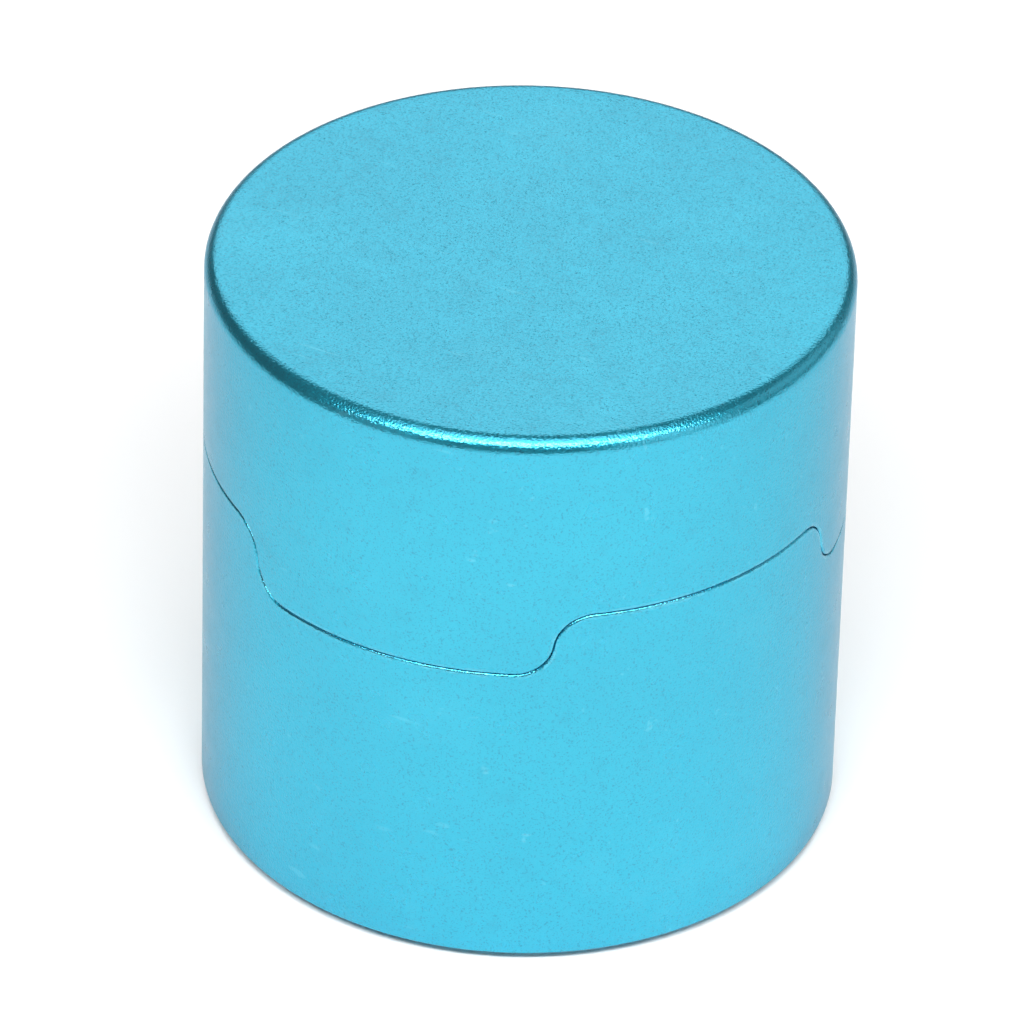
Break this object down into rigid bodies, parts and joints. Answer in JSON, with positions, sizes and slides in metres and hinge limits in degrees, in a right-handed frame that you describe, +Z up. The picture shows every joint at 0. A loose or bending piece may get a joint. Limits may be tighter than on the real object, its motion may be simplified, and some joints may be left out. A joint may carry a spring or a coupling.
{
  "type": "pill crusher",
  "caption": "Cylindrical metal pill crusher: a cap keyed to a turning sleeve by a wavy seam, round a footed mortar with a sprung, ridged pestle.",
  "frame": {"origin": "centre of the foot pad's underside, on the surface that the object stands on", "axes": "+Z up along the axis of the cylinder; -Y is the front, through the middle of one of the cap's three lobes; +X to the right"},
  "size_m": [0.05, 0.05, 0.0487],
  "materials": {
    "anodised_shell": "bead-blasted, turquoise anodised, satin",
    "bare_aluminium": "turned, clear anodised, satin",
    "stainless_steel": "turned and lightly blasted stainless steel",
    "spring_steel": "bright drawn spring wire",
    "black_steel": "black oxide",
    "bronze": "oiled sintered bronze",
    "foot_rubber": "matt moulded rubber",
    "o_ring_rubber": "smooth nitrile rubber",
    "silicone": "milky silicone rubber",
    "white_plastic": "waxy low-friction plastic"
  },
  "bodies": {
    "core": {"foot_pad": "foot_rubber", "foot_plate": "bare_aluminium", "lower_thrust_washer": "white_plastic", "mortar_cup": "bare_aluminium", "mortar_plate": "stainless_steel", "cup_seal": "silicone", "core_screw_1": "black_steel", "core_screw_2": "black_steel", "core_screw_3": "black_steel"},
    "sleeve": {"sleeve_shell": "anodised_shell", "bearing_bush": "bronze", "upper_thrust_washer": "white_plastic", "guide_collar": "bare_aluminium", "collar_o_ring": "o_ring_rubber"},
    "cap": {"cap_shell": "anodised_shell", "pestle_post": "stainless_steel", "post_washer": "stainless_steel", "post_screw": "black_steel", "pestle_spring": "spring_steel"},
    "pestle": {"pestle_body": "bare_aluminium", "pestle_plate": "stainless_steel"}
  },
  "joints": [
    {"name": "sleeve_turn", "type": "hinge", "parent": "core", "child": "sleeve", "pos_m": [0, 0, 0.005], "axis": [0, 0, 1], "continuous": true},
    {"name": "cap_lift", "type": "slide", "parent": "sleeve", "child": "cap", "axis": [0, 0, 1], "range_m": [0, 0.032]},
    {"name": "pestle_float", "type": "slide", "parent": "cap", "child": "pestle", "axis": [0, 0, 1], "range_m": [0, 0.0055], "stiffness_N_per_m": 2600, "springref_m": -0.0045, "deforming": ["pestle_spring"]}
  ]
}
